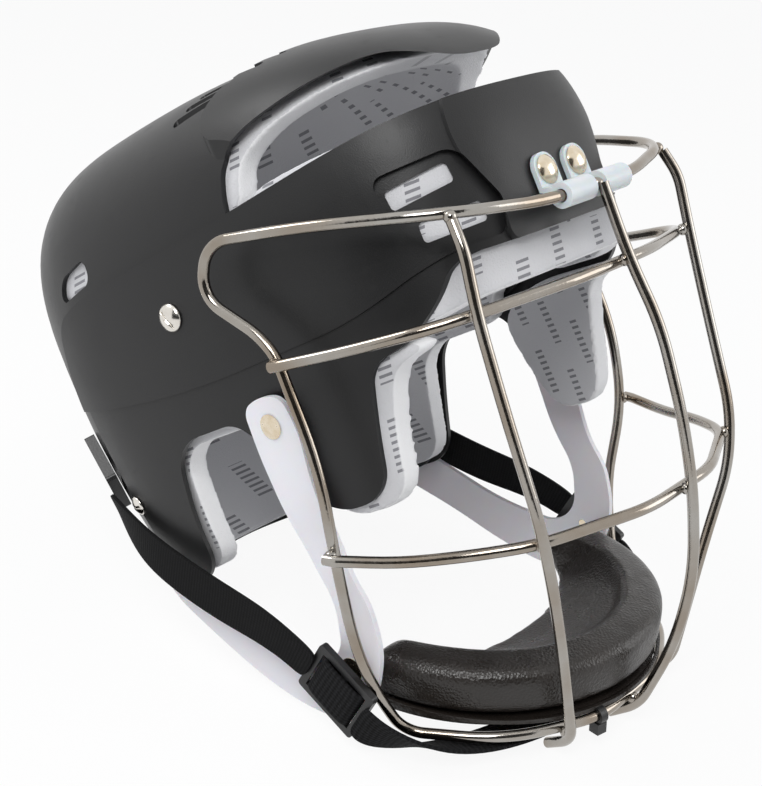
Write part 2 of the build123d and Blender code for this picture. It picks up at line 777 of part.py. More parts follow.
# Elastic straps from the buckles down to the top bars of the adjusters
elastic_shares = (
    (0.851, 0.194, -0.379), (0.871, 0.089, -0.46), (0.874, -0.026, -0.542),
    (0.88, -0.126, -0.593),
)
elastic_lie = strap_thickness / 2 + fit_gap
buckle_lie = buckle_plane.from_local_coords(
    (0, -buckle_length / 2 + buckle_bar, buckle_thickness + elastic_lie)
)
glide_top = glide_plane.from_local_coords(
    (0, glide_length / 2 - glide_bar / 2, glide_thickness + elastic_lie)
)
strap_run = -glide_plane.y_dir
elastic_stations = [(buckle_lie, buckle_plane.x_dir, -buckle_plane.y_dir)]
elastic_places = [Vector(place) for place in guard_points(elastic_shares)]
elastic_behind = [buckle_lie] + elastic_places
elastic_ahead = elastic_places[1:] + [glide_top]
for before, place, after in zip(elastic_behind, elastic_places, elastic_ahead):
    run = after - before
    elastic_stations.append((place, run.cross(Vector(1, 0, 0)), run))
elastic_stations.append((glide_top, glide_plane.x_dir, strap_run))
with BuildPart() as elastic_strap_left:
    add(flat_strap(elastic_stations, strap_width))
elastic_strap_right = other_side(elastic_strap_left.part)

# Chin plane: the flat of the guard's bottom loop, leaning down towards the nose
chin_corner = (-0.354, -0.869)
chin_slope = 28.8
chin_y, chin_z = chin_corner[0] * guard_reach, chin_corner[1] * guard_drop
slope = math.radians(chin_slope)
chin_plane = Plane(
    origin=(0, chin_y, chin_z), x_dir=(1, 0, 0), z_dir=(0, -math.sin(slope), math.cos(slope))
)


def chin_place(x, forward, height):
    """Place near the chin from its x, its reach towards the nose and its height."""
    return chin_plane.from_local_coords((x, -forward, height))


# Chin webbing from the lower bars of the adjusters, behind and under the rim wire
webbing_shares = (
    (0.887, -0.333, -0.853), (0.726, -0.411, -0.928), (0.465, -0.469, -0.963),
    (0.233, -0.514, -0.972), (0, -0.529, -0.974),
)
webbing_turns = (-20.0, 20.0, 26.0, 28.0, chin_slope)
glide_low = glide_plane.from_local_coords(
    (0, glide_bar / 2 - glide_length / 2, glide_thickness + elastic_lie + weld_gap)
)
webbing_places = [Vector(place) for place in guard_points(webbing_shares)]
webbing_stations = [(glide_low, glide_plane.x_dir, strap_run)]
beyond = webbing_places[-2].X
webbing_ahead = webbing_places[1:] + [webbing_places[-1] - Vector(beyond, 0, 0)]
webbing_behind = [glide_low] + webbing_places[:-2] + [webbing_places[-1] + Vector(beyond, 0, 0)]
for before, place, after, turn in zip(webbing_behind, webbing_places, webbing_ahead, webbing_turns):
    run = (after - before).normalized()
    across = Vector(0, math.cos(math.radians(turn)), math.sin(math.radians(turn)))
    webbing_stations.append((place, across - run * across.dot(run), run))
with BuildPart() as chin_webbing:
    add(flat_strap(webbing_stations, strap_width))
    mirror(about=Plane.YZ)

# Chin cup: a padded roll round a crescent floor that rests on the rim wire
cup_centre = chin_place(0, cup_forward - cup_radius, 0)
cup_axis = Axis(cup_centre, chin_plane.z_dir)
cup_section = Plane(origin=cup_centre, x_dir=-chin_plane.y_dir, z_dir=(-1, 0, 0))
base_low = wire / 2 + fit_gap
pad_low = base_low + base_height + fit_gap


def cup_roll_band():
    """Padded roll round the chin, turned about the cup's axis, with rounded upper ends."""
    reach = cup_radius + overrun
    with BuildPart() as band:
        with BuildSketch(cup_section):
            with Locations((cup_radius, pad_low + cup_height / 2)):
                RectangleRounded(cup_thickness, cup_height, cup_roll, rotation=-cup_lean)
        revolve(axis=cup_axis, revolution_arc=cup_half_turn)
        mirror(about=Plane.YZ)
        with BuildSketch(cup_section):
            with Locations((reach - cup_back, pad_low)):
                RectangleRounded(2 * reach, 2 * cup_height, cup_end_round)
        extrude(amount=reach, both=True, mode=Mode.INTERSECT)
    return band.part


# Zip tie round the rim wire beside the right upright, and the notch for it in the base
rim_route = wire_route(rim_points)
tie_share = 0.955
tie_place = rim_route @ tie_share
tie_run = rim_route % tie_share
tie_plane = Plane(
    origin=(-tie_place.X, tie_place.Y, tie_place.Z), z_dir=(-tie_run.X, tie_run.Y, tie_run.Z)
)
tie_inside = wire / 2 + weld_gap
tie_head = 5.0
with BuildPart() as cable_tie:
    with BuildSketch(tie_plane.offset(-tie_width / 2)):
        Circle(tie_inside + tie_thickness)
        Circle(tie_inside, mode=Mode.SUBTRACT)
    extrude(amount=tie_width)
    down = Plane(origin=tie_plane.origin, x_dir=tie_plane.z_dir, z_dir=-chin_plane.z_dir)
    with BuildSketch(down.offset(tie_inside + tie_thickness / 2)):
        Rectangle(tie_head, tie_head)
    extrude(amount=tie_head)
with BuildPart() as tie_room:
    with BuildSketch(tie_plane.offset(-tie_width)):
        Circle(tie_inside + tie_thickness + fit_gap)
    extrude(amount=2 * tie_width)
with BuildPart() as chin_cup_base:
    with BuildSketch(chin_plane.offset(base_low)) as floor_outline:
        with Locations((0, cup_radius - cup_forward)):
            Circle(base_radius)
        with Locations((0, bite_radius)):
            Circle(bite_radius, mode=Mode.SUBTRACT)
        fillet(floor_outline.vertices(), radius=base_round)
    extrude(amount=base_height)
    add(tie_room.part, mode=Mode.SUBTRACT)
with BuildPart() as chin_cup_pad:
    add(cup_roll_band())

# Every piece, tipped back and set down with the middle of its footprint at the origin
pieces = {
    "front_shell": front_shell,
    "rear_shell": rear_shell,
    "brow_pad": brow_pad,
    "cheek_pad_left": cheek_pad_left,
    "cheek_pad_right": cheek_pad_right,
    "side_pad_left": side_pad_left,
    "side_pad_right": side_pad_right,
    "nape_pad": nape_pad,
    "crown_pad": crown_pad,
    "size_screws_upper": size_screws_upper,
    "size_screws_lower": size_screws_lower,
    "size_nuts": size_nuts,
    "guard_rim": guard_rim,
    "guard_upper_bar": guard_upper_bar,
    "guard_lower_bar": guard_lower_bar,
    "guard_centre_upright": guard_centre_upright,
    "guard_side_uprights": guard_side_uprights,
    "forehead_clip": forehead_clip,
    "clip_rivets": clip_rivets,
    "harness_plate_left": harness_plate_left,
    "harness_plate_right": harness_plate_right,
    "harness_rivets": harness_rivets,
    "strap_adjuster_left": strap_adjuster_left,
    "strap_adjuster_right": strap_adjuster_right,
    "webbing_loop_left": webbing_loop_left,
    "webbing_loop_right": webbing_loop_right,
    "strap_buckle_left": strap_buckle_left,
    "strap_buckle_right": strap_buckle_right,
    "elastic_strap_left": elastic_strap_left,
    "elastic_strap_right": elastic_strap_right,
    "chin_webbing": chin_webbing,
    "chin_cup_pad": chin_cup_pad,
    "chin_cup_base": chin_cup_base,
    "cable_tie": cable_tie,
}
tip_back = Location((0, 0, 0), (-rest_tip, 0, 0))
tipped = {name: getattr(piece, "part", piece).moved(tip_back) for name, piece in pieces.items()}
boxes = [part.bounding_box() for part in tipped.values()]
front_end = min(box.min.Y for box in boxes)
back_end = max(box.max.Y for box in boxes)
lowest = min(box.min.Z for box in boxes)
set_down = Location((0, -(front_end + back_end) / 2, -lowest))
os.makedirs("parts", exist_ok=True)
for name, part in tipped.items():
    placed = part.moved(set_down)
    placed.label = name
    export_step(placed, f"parts/{name}.step")
hinge = (set_down * tip_back * Location((0, clip_y, clip_z))).position
print("guard hinge", [round(value, 2) for value in hinge])
print("set down", round(-(front_end + back_end) / 2, 3), round(-lowest, 3))
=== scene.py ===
import math

import bmesh
import bpy
from mathutils import Matrix, Vector


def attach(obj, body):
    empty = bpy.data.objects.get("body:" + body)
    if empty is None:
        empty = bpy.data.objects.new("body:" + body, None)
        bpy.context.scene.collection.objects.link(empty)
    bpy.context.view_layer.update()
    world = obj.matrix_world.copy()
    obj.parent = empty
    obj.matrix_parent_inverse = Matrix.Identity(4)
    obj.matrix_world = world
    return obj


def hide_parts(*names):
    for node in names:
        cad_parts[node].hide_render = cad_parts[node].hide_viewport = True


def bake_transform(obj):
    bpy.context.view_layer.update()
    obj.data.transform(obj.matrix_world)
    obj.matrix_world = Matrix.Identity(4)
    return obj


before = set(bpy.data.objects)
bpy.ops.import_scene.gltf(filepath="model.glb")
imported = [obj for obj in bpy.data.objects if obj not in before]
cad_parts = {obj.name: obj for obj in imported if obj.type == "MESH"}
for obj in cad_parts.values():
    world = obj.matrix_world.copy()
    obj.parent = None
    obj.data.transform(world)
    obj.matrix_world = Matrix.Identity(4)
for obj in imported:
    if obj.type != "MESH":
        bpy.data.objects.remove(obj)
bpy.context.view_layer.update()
scene = bpy.context.scene

# Camera: a long lens from the wearer's right front, looking down on the helmet and
# rolled a little to match the picture.
camera_data = bpy.data.cameras.new("camera")
camera = bpy.data.objects.new("camera", camera_data)
scene.collection.objects.link(camera)
scene.camera = camera
camera_data.lens = 70.99
camera_data.sensor_width = 36.0
camera_data.clip_start = 0.01
camera.location = (-0.50062, -0.40025, 0.38621)
camera.rotation_euler = [math.radians(turn) for turn in (66.3375, -2.8704, -50.6471)]

# Floor and room: a pale sheet in a pale room. The camera, mirrors and clear things see
# both as white paper, and the helmet itself is lit by a dimmer grey.
room = bpy.data.worlds.new("room")
scene.world = room
room.use_nodes = True
scene.view_settings.view_transform = "Standard"
floor_half = 6.0
floor_mesh = bmesh.new()
bmesh.ops.create_grid(floor_mesh, x_segments=1, y_segments=1, size=floor_half)
floor_data = bpy.data.meshes.new("floor")
floor_mesh.to_mesh(floor_data)
floor_mesh.free()
floor = bpy.data.objects.new("floor", floor_data)
scene.collection.objects.link(floor)


class Shade:
    """A shader socket on which sums can be written."""

    def __init__(self, tree, socket=None):
        self.tree = tree
        self.socket = socket

    def node(self, kind, settings, sockets, out=0):
        """Adds a node, sets it up, fills or joins its sockets and gives one output."""
        made = self.tree.nodes.new(kind)
        for name, value in settings.items():
            setattr(made, name, value)
        for name, value in sockets.items():
            if isinstance(value, Shade):
                self.tree.links.new(value.socket, made.inputs[name])
            else:
                made.inputs[name].default_value = value
        return Shade(self.tree, made.outputs[out])

    def maths(self, operation, first, second=0.0):
        return self.node("ShaderNodeMath", {"operation": operation}, {0: first, 1: second})

    def __add__(self, other):
        return self.maths("ADD", self, other)

    def __sub__(self, other):
        return self.maths("SUBTRACT", self, other)

    def __rsub__(self, other):
        return self.maths("SUBTRACT", other, self)

    def __mul__(self, other):
        return self.maths("MULTIPLY", self, other)

    def __truediv__(self, other):
        return self.maths("DIVIDE", self, other)

    def below(self, limit):
        return self.maths("LESS_THAN", self, limit)

    def fraction(self):
        return self.maths("FRACT", self)

    def whole(self):
        return self.maths("FLOOR", self)

    def noise(self, place, scale, detail):
        sockets = {"Vector": place, "Scale": scale, "Detail": detail}
        return self.node("ShaderNodeTexNoise", {}, sockets)

    def dot(self, vector, way):
        """How far a vector reaches along a direction."""
        settings = {"operation": "DOT_PRODUCT"}
        return self.node("ShaderNodeVectorMath", settings, {0: vector, 1: way}, "Value")

    def between(self, share, first, second):
        """Colour between two colours by a share from 0 to 1; the second may be a socket."""
        sockets = {0: share, 6: (*first, 1)}
        sockets[7] = second if isinstance(second, Shade) else (*second, 1)
        return self.node("ShaderNodeMix", {"data_type": "RGBA"}, sockets, 2)

    def ranged(self, value, low, high, to_low, to_high):
        sockets = {"Value": value, 1: low, 2: high, 3: to_low, 4: to_high}
        return self.node("ShaderNodeMapRange", {}, sockets)

    def bump(self, height, depth):
        return self.node("ShaderNodeBump", {}, {"Height": height, "Distance": depth, "Strength": 1.0})


def seen_rays(tree):
    """One for the rays of the camera, of mirrors and of clear things, nought for the rest."""
    total = 0.0
    for kind in ("Is Camera Ray", "Is Glossy Ray", "Is Transmission Ray"):
        total = tree.node("ShaderNodeLightPath", {}, {}, kind) + total
    return tree.maths("MINIMUM", total, 1.0)


floor_finish = bpy.data.materials.new("floor_paper")
floor_finish.use_nodes = True
floor_tree = Shade(floor_finish.node_tree)
floor_surface = floor_finish.node_tree.nodes["Principled BSDF"]
floor_surface.inputs["Roughness"].default_value = 0.9
floor_surface.inputs["Specular IOR Level"].default_value = 0.1
floor_surface.inputs["Base Color"].default_value = (0.9, 0.9, 0.9, 1)
floor.data.materials.append(floor_finish)
paper_share = 0.92
paper = floor_tree.node("ShaderNodeEmission", {}, {"Color": (1, 1, 1, 1), "Strength": 1.0})
paper_mix = floor_tree.node("ShaderNodeMixShader", {}, {
    0: seen_rays(floor_tree) * paper_share,
    1: Shade(floor_tree.tree, floor_surface.outputs[0]),
    2: paper})
floor_tree.tree.links.new(paper_mix.socket, floor_tree.tree.nodes["Material Output"].inputs["Surface"])
room_grey, room_white = (0.32, 0.33, 0.35), (1.0, 1.0, 1.0)
room_tree = Shade(room.node_tree)
room_colour = room_tree.between(seen_rays(room_tree), room_grey, room_white)
room_tree.tree.links.new(room_colour.socket, room.node_tree.nodes["Background"].inputs["Color"])


def softbox(name, place, aim, size, power):
    """A square studio lamp that points at a place."""
    lamp = bpy.data.lights.new(name, "AREA")
    lamp.shape, lamp.size, lamp.energy = "SQUARE", size, power
    stand = bpy.data.objects.new(name, lamp)
    scene.collection.objects.link(stand)
    stand.location = place
    stand.rotation_euler = (Vector(aim) - Vector(place)).to_track_quat("-Z", "Y").to_euler()


helmet_middle = (0.0, 0.0, 0.13)
softbox("key_lamp", (-0.9, -0.5, 1.3), helmet_middle, size=0.7, power=14.0)
softbox("fill_lamp", (0.9, -1.1, 0.7), helmet_middle, size=0.9, power=6.0)
softbox("crown_lamp", (-0.5, 0.9, 1.2), helmet_middle, size=0.5, power=7.0)
# A dark card behind the camera darkens what the shells, the wire and the screws mirror
card_half, card_place, card_colour = 1.5, (-1.55, -1.25, 0.75), (0.02, 0.02, 0.02, 1)
card_mesh = bmesh.new()
bmesh.ops.create_grid(card_mesh, x_segments=1, y_segments=1, size=card_half)
card_data = bpy.data.meshes.new("dark_card")
card_mesh.to_mesh(card_data)
card_mesh.free()
dark_card = bpy.data.objects.new("dark_card", card_data)
scene.collection.objects.link(dark_card)
dark_card.location = card_place
dark_card.rotation_euler = (Vector(helmet_middle) - dark_card.location).to_track_quat("Z", "Y").to_euler()
card_finish = bpy.data.materials.new("card_black")
card_finish.use_nodes = True
card_finish.node_tree.nodes["Principled BSDF"].inputs["Base Color"].default_value = card_colour
card_data.materials.append(card_finish)


# Shells: injection-moulded black plastic with a fine satin grain. The front shell
# slides over the rear one, and both keep the shape of their solids.
def new_finish(name, roughness, **constants):
    """A material with its constants set, its surface node and a shader socket to build on."""
    material = bpy.data.materials.new(name)
    material.use_nodes = True
    surface = material.node_tree.nodes["Principled BSDF"]
    surface.inputs["Roughness"].default_value = roughness
    for socket, value in constants.items():
        surface.inputs[socket.replace("_", " ")].default_value = value
    tree = Shade(material.node_tree)
    place = tree.node("ShaderNodeTexCoord", {}, {}, "Object")
    return material, surface, tree, place


def join(surface, **links):
    """Joins shader sockets to the surface node's inputs."""
    for socket, shade in links.items():
        shade.tree.links.new(shade.socket, surface.inputs[socket.replace("_", " ")])


def coat(material, *nodes):
    """Gives CAD nodes a material."""
    for node in nodes:
        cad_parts[node].material_slots[0].material = material


shell_black, surface, tree, place = new_finish("shell_black", 0.42, Specular_IOR_Level=0.38)
grain = tree.noise(place, 1900.0, 3.0)
cloud = tree.noise(place, 24.0, 4.0)
scuff = tree.ranged(tree.noise(place, 160.0, 6.0), 0.62, 0.75, 0.0, 1.0)
join(surface,
     Base_Color=tree.between(cloud, (0.008, 0.008, 0.0085), (0.013, 0.013, 0.0135)),
     Roughness=tree.ranged(cloud, 0.3, 0.7, 0.36, 0.44) + scuff * 0.08,
     Normal=tree.bump(grain, 0.00006))
coat(shell_black, "front_shell", "rear_shell")


# Liner: sheets of white foam faced with a brushed knit. The faces are grey cloth with
# rows of plain printed ticks, and the cut edges show the bare white foam.
liner_white, surface, tree, place = new_finish(
    "liner_white", 0.9, Sheen_Weight=0.25, Specular_IOR_Level=0.2)
head_middle = (0.0, 0.035, 0.15)
worn_up = (0.0, 0.5314, 0.8471)
worn_back = (0.0, 0.8471, -0.5314)
from_middle = tree.node("ShaderNodeVectorMath", {"operation": "SUBTRACT"}, {0: place, 1: head_middle})
up_share = tree.dot(from_middle, worn_up)
back_share = tree.dot(from_middle, worn_back)
side_share = tree.node("ShaderNodeSeparateXYZ", {}, {0: from_middle}, "X")
facing = tree.node("ShaderNodeTexCoord", {}, {}, "Normal")
facing_side = tree.node("ShaderNodeSeparateXYZ", {}, {0: facing}, "X")
facing_up = tree.dot(facing, worn_up)
facing_back = tree.dot(facing, worn_back)
# The foam's faces follow an ellipsoid, given here by its squared half lengths. A place
# that leans away from it is a cut edge.
skin_side, skin_back, skin_up = 0.0089, 0.0196, 0.0088
edge_lean, face_lean = 0.66, 0.82
skin_way = tree.node("ShaderNodeCombineXYZ", {}, {
    0: side_share / skin_side,
    1: back_share / skin_back,
    2: tree.maths("MAXIMUM", up_share, 0.0) / skin_up})
skin_way = tree.node("ShaderNodeVectorMath", {"operation": "NORMALIZE"}, {0: skin_way})
pad_way = tree.node("ShaderNodeCombineXYZ", {}, {0: facing_side, 1: facing_back, 2: facing_up})
lean = tree.dot(skin_way, pad_way)
face_share = tree.ranged(tree.maths("ABSOLUTE", lean), edge_lean, face_lean, 0.0, 1.0)
# Each printed row slants a little, and its ticks are shifted along from the last row's
row_centre, row_radius, row_slant, row_shift = 0.04, 0.085, 0.22, 0.0127
row_pitch, word_pitch, tick_pitch = 0.017, 0.034, 0.0028
row_half, word_part, tick_part = 0.15, 0.62, 0.42
girth = tree.maths("ARCTAN2", side_share, back_share + row_centre) * row_radius
rows = (girth + up_share * row_slant) / row_pitch
run = up_share + rows.whole() * row_shift
in_row = rows.fraction() - 0.5
printed = tree.maths("ABSOLUTE", in_row).below(row_half) * (run / word_pitch).fraction().below(word_part)
ticks = printed * (run / tick_pitch).fraction().below(tick_part)
knit = tree.node("ShaderNodeTexVoronoi", {}, {"Vector": place, "Scale": 1100.0})
crumb = tree.noise(place, 1500.0, 4.0)
cloth_colour = tree.between(ticks * 0.75, (0.7, 0.7, 0.72), (0.12, 0.12, 0.14))
join(surface,
     Base_Color=tree.between(face_share, (0.92, 0.92, 0.93), cloth_colour),
     Normal=tree.bump(knit * 0.5 + crumb, 0.00022))


def foam_pad(node, body, voxel, round_steps, swell):
    """A foam pad in its solid's place, with rounded edges and a slightly swollen face."""
    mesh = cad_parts[node].data.copy()
    pad = bpy.data.objects.new(node + "_foam", mesh)
    scene.collection.objects.link(pad)
    shape = bmesh.new()
    shape.from_mesh(mesh)
    bmesh.ops.remove_doubles(shape, verts=shape.verts, dist=0.00002)
    shape.to_mesh(mesh)
    shape.free()
    mesh.materials.clear()
    mesh.materials.append(liner_white)
    remesh = pad.modifiers.new("even", "REMESH")
    remesh.mode, remesh.voxel_size = "VOXEL", voxel
    smooth = pad.modifiers.new("rounded", "SMOOTH")
    smooth.factor, smooth.iterations = 0.5, round_steps
    swollen = pad.modifiers.new("swollen", "DISPLACE")
    swollen.strength, swollen.mid_level = swell, 0.0
    depsgraph = bpy.context.evaluated_depsgraph_get()
    done = bpy.data.meshes.new_from_object(pad.evaluated_get(depsgraph))
    pad.modifiers.clear()
    pad.data = done
    done.shade_smooth()
    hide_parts(node)
    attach(pad, body)
    return pad


for node, body in (("brow_pad", "shell"), ("cheek_pad_left", "shell"), ("cheek_pad_right", "shell"),
                   ("nape_pad", "rear"), ("crown_pad", "rear")):
    foam_pad(node, body, voxel=0.0013, round_steps=7, swell=0.0002)
# Where the left size screws sit in the side pad, and which way they point
upper_seat, upper_outward = (0.0889, 0.0272, 0.1592), (0.9989, -0.0381, 0.0260)
lower_seat, lower_outward = (0.0812, 0.0564, 0.0607), (0.9473, 0.1826, -0.2631)
nut_depth, nut_reach, slide_run, foam_press = 0.00245, 0.009, 0.008, 0.0027


def clear_nuts(mesh, side):
    """Presses a side pad's foam back round each nut, all along the nut's run in its pocket."""
    for seat, outward in ((upper_seat, upper_outward), (lower_seat, lower_outward)):
        nut = Vector((side * seat[0], *seat[1:])) - Vector((side * outward[0], *outward[1:])) * nut_depth
        ahead = Vector(worn_back) * -slide_run
        for vert in mesh.vertices:
            share = min(1.0, max(0.0, (vert.co - nut).dot(ahead) / ahead.length_squared))
            away = vert.co - nut - ahead * share
            if away.length < nut_reach:
                vert.co += away.normalized() * foam_press * (1.0 - away.length / nut_reach)


for side, node in ((1, "side_pad_left"), (-1, "side_pad_right")):
    clear_nuts(foam_pad(node, "rear", voxel=0.0009, round_steps=1, swell=0.0).data, side)


# Size screws: plated domed heads with a driver slot, screwed into round nuts inside.
plated, surface, tree, place = new_finish("plated_steel", 0.16, Metallic=1.0)
haze = tree.noise(place, 300.0, 3.0)
join(surface,
     Base_Color=tree.between(haze, (0.62, 0.58, 0.52), (0.86, 0.84, 0.8)),
     Roughness=tree.ranged(haze, 0.3, 0.7, 0.12, 0.24))
coat(plated, "size_nuts")


slot_length = 0.03
upper_rise, upper_dome = 0.0068, 0.0032
lower_rise, lower_dome = 0.0056, 0.0022


def slotted_screws(node, seat, outward, lift, turn, width, depth, body):
    """The two screws of a pair, each with a driver slot cut across its domed head."""
    screws = bpy.data.objects.new(node + "_slotted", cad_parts[node].data.copy())
    scene.collection.objects.link(screws)
    slots = bmesh.new()
    for side in (1, -1):
        normal = Vector((side * outward[0], outward[1], outward[2])).normalized()
        top = Vector((side * seat[0], seat[1], seat[2])) + normal * lift
        facing = normal.to_track_quat("Z", "Y").to_matrix().to_4x4()
        size = Matrix.Diagonal((slot_length, width, 2 * depth, 1.0))
        spot = Matrix.Translation(top) @ facing @ Matrix.Rotation(side * turn, 4, "Z") @ size
        bmesh.ops.create_cube(slots, size=1.0, matrix=spot)
    slot_mesh = bpy.data.meshes.new("slots")
    slots.to_mesh(slot_mesh)
    slots.free()
    cutter = bpy.data.objects.new("slots", slot_mesh)
    scene.collection.objects.link(cutter)
    shape = bmesh.new()
    shape.from_mesh(screws.data)
    bmesh.ops.remove_doubles(shape, verts=shape.verts, dist=0.00001)
    shape.to_mesh(screws.data)
    shape.free()
    cut = screws.modifiers.new("slot", "BOOLEAN")
    cut.object, cut.operation, cut.solver = cutter, "DIFFERENCE", "EXACT"
    done = bpy.data.meshes.new_from_object(screws.evaluated_get(bpy.context.evaluated_depsgraph_get()))
    screws.modifiers.clear()
    bpy.data.objects.remove(cutter)
    done.materials.clear()
    done.materials.append(plated)
    done.shade_smooth()
    done.set_sharp_from_angle(angle=0.6)
    screws.data = done
    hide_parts(node)
    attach(screws, body)


slotted_screws("size_screws_upper", upper_seat, upper_outward, lift=upper_rise + upper_dome,
               turn=0.6, width=0.0016, depth=0.0016, body="shell")
slotted_screws("size_screws_lower", lower_seat, lower_outward, lift=lower_rise + lower_dome,
               turn=-0.4, width=0.0012, depth=0.0011, body="shell")


# Face guard: nickel-plated steel wire, bent and welded where the wires cross. The rim
# wire hinges in the forehead clip.
wire_nickel, surface, tree, place = new_finish("wire_nickel", 0.15, Metallic=1.0)
tarnish = tree.noise(place, 28.0, 5.0)
drawn = tree.noise(place, 900.0, 2.0)
tarnish_share = tree.ranged(tarnish, 0.35, 0.7, 0.0, 1.0)
join(surface,
     Base_Color=tree.between(tarnish_share, (0.38, 0.365, 0.34), (0.26, 0.21, 0.16)),
     Roughness=tree.ranged(drawn, 0.3, 0.7, 0.1, 0.18),
     Normal=tree.bump(drawn, 0.00002))
coat(wire_nickel, "guard_rim", "guard_upper_bar", "guard_lower_bar", "guard_centre_upright",
     "guard_side_uprights")
# A small bead stands where two wires are welded, on both sides and on the middle line
weld_places = ((0.1063, -0.0397, 0.1621), (0.1064, -0.0712, 0.0927), (0.0394, -0.1432, 0.0132),
               (0.0726, -0.0913, 0.2247), (0.0747, -0.1069, 0.1923), (0.07, -0.1416, 0.1105))
middle_welds = ((0.0, -0.1068, 0.2265), (0.0, -0.151, 0.0136), (0.0, -0.1224, 0.2), (0.0, -0.1614, 0.1161))
weld_radius = 0.0026
beads = bmesh.new()
for x, y, z in weld_places + middle_welds:
    for side in ((1, -1) if x else (1,)):
        spot = Matrix.Translation((side * x, y, z))
        bmesh.ops.create_icosphere(beads, subdivisions=3, radius=weld_radius, matrix=spot)
bead_mesh = bpy.data.meshes.new("weld_beads")
beads.to_mesh(bead_mesh)
beads.free()
bead_mesh.materials.append(wire_nickel)
bead_mesh.shade_smooth()
weld_beads = bpy.data.objects.new("weld_beads", bead_mesh)
scene.collection.objects.link(weld_beads)
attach(weld_beads, "guard")


# Forehead clip: a translucent nylon clip round the rim wire, held by two brass rivets.
clip_nylon, surface, tree, place = new_finish(
    "clip_nylon", 0.3, Subsurface_Weight=0.35, Subsurface_Scale=0.004, Transmission_Weight=0.12)
milk = tree.noise(place, 120.0, 3.0)
join(surface, Base_Color=tree.between(milk, (0.72, 0.79, 0.83), (0.86, 0.9, 0.92)))
coat(clip_nylon, "forehead_clip")
rivet_brass, surface, tree, place = new_finish("rivet_brass", 0.18, Metallic=1.0)
wear = tree.noise(place, 260.0, 4.0)
join(surface,
     Base_Color=tree.between(wear, (0.6, 0.47, 0.3), (0.86, 0.8, 0.68)),
     Roughness=tree.ranged(wear, 0.3, 0.7, 0.12, 0.3))
coat(rivet_brass, "clip_rivets", "harness_rivets")


# Harness plates: smooth white moulded plastic with a faint lavender cast.
harness_white, surface, tree, place = new_finish(
    "harness_white", 0.32, Subsurface_Weight=0.2, Subsurface_Scale=0.003)
flow = tree.noise(place, 18.0, 3.0)
skin_grain = tree.noise(place, 700.0, 2.0)
join(surface,
     Base_Color=tree.between(flow, (0.86, 0.85, 0.91), (0.92, 0.91, 0.95)),
     Roughness=tree.ranged(skin_grain, 0.3, 0.7, 0.28, 0.38),
     Normal=tree.bump(skin_grain, 0.00002))
coat(harness_white, "harness_plate_left", "harness_plate_right")


# Adjusters and buckles: black moulded frames that the straps are threaded through.
buckle_black, surface, tree, place = new_finish("buckle_black", 0.38)
mould = tree.noise(place, 1200.0, 3.0)
join(surface,
     Base_Color=tree.between(mould, (0.006, 0.006, 0.006), (0.011, 0.011, 0.012)),
     Normal=tree.bump(mould, 0.00004))
coat(buckle_black, "strap_adjuster_left", "strap_adjuster_right", "strap_buckle_left",
     "strap_buckle_right", "cable_tie")


# Straps: flat black elastic from the rear buckles, ribbed webbing in the adjusters and
# one webbing under the chin. Each is a woven band with its weave running along it.
def woven(name, rib_pitch, rib_depth, cross_pitch, dark, light):
    """A black band finish whose ribs run across the strap's own length."""
    material, surface, tree, place = new_finish(name, 0.8, Specular_IOR_Level=0.12)
    run = tree.node("ShaderNodeUVMap", {"uv_map": "strap"}, {})
    across = tree.node("ShaderNodeSeparateXYZ", {}, {0: run}, "X")
    along = tree.node("ShaderNodeSeparateXYZ", {}, {0: run}, "Y")
    rib = tree.maths("SINE", along * (2 * math.pi / rib_pitch))
    cord = tree.maths("SINE", across * (2 * math.pi / cross_pitch))
    weave = tree.ranged(rib + cord * 0.6, -1.6, 1.6, 0.0, 1.0)
    fuzz = tree.noise(place, 1400.0, 3.0)
    join(surface,
         Base_Color=tree.between(weave * fuzz * 1.6, dark, light),
         Normal=tree.bump(weave + fuzz * 0.3, rib_depth))
    return material


yarn_black = (0.004, 0.004, 0.004)
elastic_black = woven("elastic_black", rib_pitch=0.0016, rib_depth=0.00012, cross_pitch=0.0012,
                      dark=yarn_black, light=(0.013, 0.013, 0.014))
webbing_black = woven("webbing_black", rib_pitch=0.0024, rib_depth=0.0004, cross_pitch=0.0016,
                      dark=yarn_black, light=(0.018, 0.018, 0.02))


